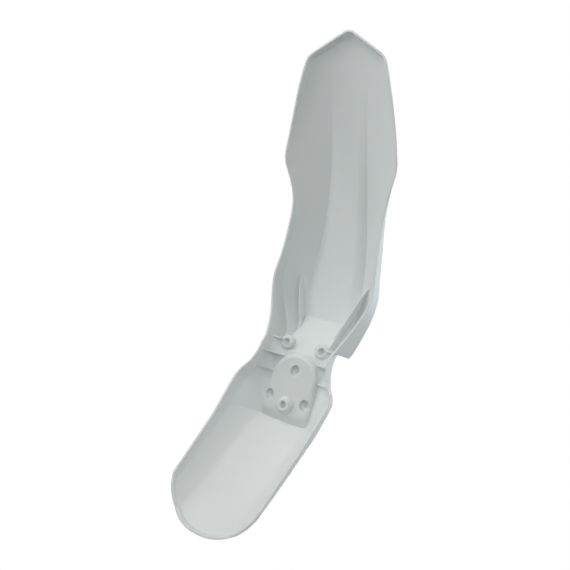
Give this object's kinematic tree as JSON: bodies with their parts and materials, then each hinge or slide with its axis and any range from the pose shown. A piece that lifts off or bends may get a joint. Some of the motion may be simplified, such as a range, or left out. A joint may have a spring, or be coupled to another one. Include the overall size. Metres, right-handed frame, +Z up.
{
  "type": "motorcycle front mudguard",
  "caption": "One-piece moulded off-road motorcycle front mudguard: long creased nose, boxed neck and bolt-up deck, short rear blade",
  "frame": {"origin": "centre bolt hole's axis on the flat seat that bolts up under the lower fork crown", "axes": "+Z up along the bolts, -Y towards the nose, +Y towards the rear blade, X across the bike"},
  "size_m": [0.1834, 0.6904, 0.1893],
  "materials": {
    "shell": "satin"
  },
  "bodies": {
    "root": {"front_mudguard": "shell"}
  },
  "joints": []
}
